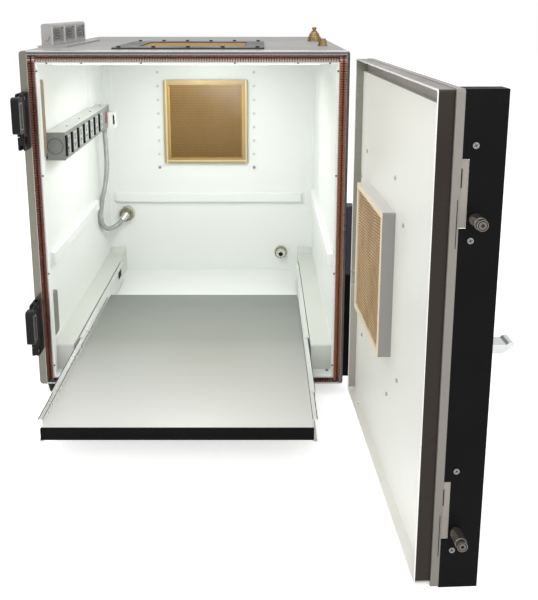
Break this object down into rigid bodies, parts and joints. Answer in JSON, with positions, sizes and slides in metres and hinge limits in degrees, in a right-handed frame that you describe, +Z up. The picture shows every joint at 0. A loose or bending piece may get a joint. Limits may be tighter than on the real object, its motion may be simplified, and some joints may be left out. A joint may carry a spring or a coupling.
{
  "type": "RF shielded test enclosure",
  "caption": "Bench-top shielded test cabinet with a knife-edge door, slide-out tray, honeycomb vents, side power strip and two lever latches.",
  "frame": {"origin": "on the bench, level with the feet's soles, under the middle of the cabinet's front rim", "axes": "+X to the hinge side, +Y into the cabinet, +Z up"},
  "size_m": [0.6936, 1.3012, 0.671],
  "materials": {
    "outer_shell": "satin light grey enamel",
    "front_frame": "satin grey enamel with a bright edge",
    "finger_gasket": "copper-brown spring stock",
    "inner_liner": "white enamel",
    "liner_rivets": "dark zinc",
    "light_bar": "opal diffuser",
    "rail_rear": "white enamel",
    "rail_left": "white enamel",
    "rail_right": "white enamel",
    "corner_angles": "white enamel",
    "pedestal_left": "white enamel on aluminium",
    "pedestal_right": "white enamel on aluminium",
    "slide_outer_left": "bright zinc",
    "slide_outer_right": "bright zinc",
    "rear_vent_frame": "gold-plated brass",
    "rear_vent_core": "brass honeycomb",
    "rear_vent_studs": "bright stud heads",
    "roof_vent_frame": "dark grey enamel",
    "roof_vent_core": "brass honeycomb",
    "roof_vent_screws": "bright stud heads",
    "io_base": "grey anodised",
    "io_housing": "light grey enamel on aluminium",
    "ground_terminal": "turned brass",
    "strip_housing": "grey enamel on an aluminium extrusion",
    "strip_outlets": "dark grey plastic",
    "strip_plug": "white plastic",
    "conduit": "grey ribbed sleeve",
    "conduit_gland": "nickel plate",
    "rear_connector": "nickel plate",
    "latch_body_upper": "black powder coat",
    "latch_body_lower": "black powder coat",
    "latch_pins": "bright steel",
    "latch_backings": "tan rubber",
    "hinge_block_lower": "black powder coat",
    "hinge_block_upper": "dark purple-grey powder coat",
    "hinge_pins": "bright steel",
    "feet": "black rubber",
    "slide_mid_left": "bright zinc",
    "slide_mid_right": "bright zinc",
    "slide_inners": "bright zinc",
    "tray_plate": "grey anodised sheet",
    "tray_lip": "black powder coat",
    "door_plate": "light grey enamel on aluminium",
    "door_knife": "bronze-grey plate",
    "door_liner": "white enamel on aluminium",
    "door_edge_bar": "black powder coat",
    "door_vent_box": "white enamel on aluminium",
    "door_vent_core": "brass honeycomb",
    "door_studs": "bright stud heads",
    "strike_plates": "light grey plate",
    "roller_posts": "bright steel",
    "door_screws": "bright stud heads",
    "door_handle": "polished steel",
    "hinge_straps": "black powder coat",
    "latch_lever_upper": "black moulded plastic",
    "latch_lever_lower": "black moulded plastic",
    "roller_upper": "bright steel",
    "roller_lower": "bright steel",
    "switch_rocker": "red translucent plastic",
    "wire_duct": "white enamel"
  },
  "bodies": {
    "cabinet": {"outer_shell": "outer_shell", "front_frame": "front_frame", "finger_gasket": "finger_gasket", "inner_liner": "inner_liner", "liner_rivets": "liner_rivets", "light_bar": "light_bar", "rail_rear": "rail_rear", "rail_left": "rail_left", "rail_right": "rail_right", "corner_angles": "corner_angles", "pedestal_left": "pedestal_left", "pedestal_right": "pedestal_right", "slide_outer_left": "slide_outer_left", "slide_outer_right": "slide_outer_right", "rear_vent_frame": "rear_vent_frame", "rear_vent_core": "rear_vent_core", "rear_vent_studs": "rear_vent_studs", "roof_vent_frame": "roof_vent_frame", "roof_vent_core": "roof_vent_core", "roof_vent_screws": "roof_vent_screws", "io_base": "io_base", "io_housing": "io_housing", "ground_terminal": "ground_terminal", "strip_housing": "strip_housing", "strip_outlets": "strip_outlets", "strip_plug": "strip_plug", "conduit": "conduit", "conduit_gland": "conduit_gland", "rear_connector": "rear_connector", "latch_body_upper": "latch_body_upper", "latch_body_lower": "latch_body_lower", "latch_pins": "latch_pins", "latch_backings": "latch_backings", "hinge_block_lower": "hinge_block_lower", "hinge_block_upper": "hinge_block_upper", "hinge_pins": "hinge_pins", "feet": "feet", "wire_duct": "wire_duct"},
    "door": {"door_plate": "door_plate", "door_knife": "door_knife", "door_liner": "door_liner", "door_edge_bar": "door_edge_bar", "door_vent_box": "door_vent_box", "door_vent_core": "door_vent_core", "door_studs": "door_studs", "strike_plates": "strike_plates", "roller_posts": "roller_posts", "door_screws": "door_screws", "door_handle": "door_handle", "hinge_straps": "hinge_straps"},
    "tray": {"tray_plate": "tray_plate", "tray_lip": "tray_lip", "slide_inners": "slide_inners"},
    "slide_middle_left": {"slide_mid_left": "slide_mid_left"},
    "slide_middle_right": {"slide_mid_right": "slide_mid_right"},
    "latch_lever_upper": {"latch_lever_upper": "latch_lever_upper"},
    "latch_lever_lower": {"latch_lever_lower": "latch_lever_lower"},
    "roller_upper": {"roller_upper": "roller_upper"},
    "roller_lower": {"roller_lower": "roller_lower"},
    "rocker": {"switch_rocker": "switch_rocker"}
  },
  "joints": [
    {"name": "door_hinge", "type": "hinge", "parent": "cabinet", "child": "door", "pos_m": [0.302, 0, 0.1], "axis": [0, 0, 1], "range_deg": [-10, 32]},
    {"name": "tray_slide", "type": "slide", "parent": "cabinet", "child": "tray", "axis": [0, -1, 0], "range_m": [-0.274, 0.226]},
    {"name": "slide_middle_left_travel", "type": "slide", "parent": "cabinet", "child": "slide_middle_left", "axis": [0, -1, 0], "range_m": [-0.1644, 0.1356]},
    {"name": "slide_middle_right_travel", "type": "slide", "parent": "cabinet", "child": "slide_middle_right", "axis": [0, -1, 0], "range_m": [-0.1644, 0.1356]},
    {"name": "latch_upper_swing", "type": "hinge", "parent": "cabinet", "child": "latch_lever_upper", "pos_m": [-0.27425, -0.02, 0.552], "axis": [1, 0, 0], "range_deg": [-60, 0]},
    {"name": "latch_lower_swing", "type": "hinge", "parent": "cabinet", "child": "latch_lever_lower", "pos_m": [-0.27425, -0.02, 0.18], "axis": [1, 0, 0], "range_deg": [-60, 0]},
    {"name": "roller_upper_spin", "type": "hinge", "parent": "door", "child": "roller_upper", "pos_m": [0.35779, -0.56745, 0.4805], "axis": [0.0489, -0.9988, 0], "continuous": true},
    {"name": "roller_lower_spin", "type": "hinge", "parent": "door", "child": "roller_lower", "pos_m": [0.35779, -0.56745, 0.102], "axis": [0.0489, -0.9988, 0], "continuous": true},
    {"name": "rocker_tilt", "type": "hinge", "parent": "cabinet", "child": "rocker", "pos_m": [-0.229, 0.482, 0.455], "axis": [0, 0, 1], "range_deg": [-6, 6]}
  ],
  "couplings": [
    {"joint": "slide_middle_left_travel", "follows": "tray_slide", "ratio": 0.6},
    {"joint": "slide_middle_right_travel", "follows": "tray_slide", "ratio": 0.6}
  ]
}
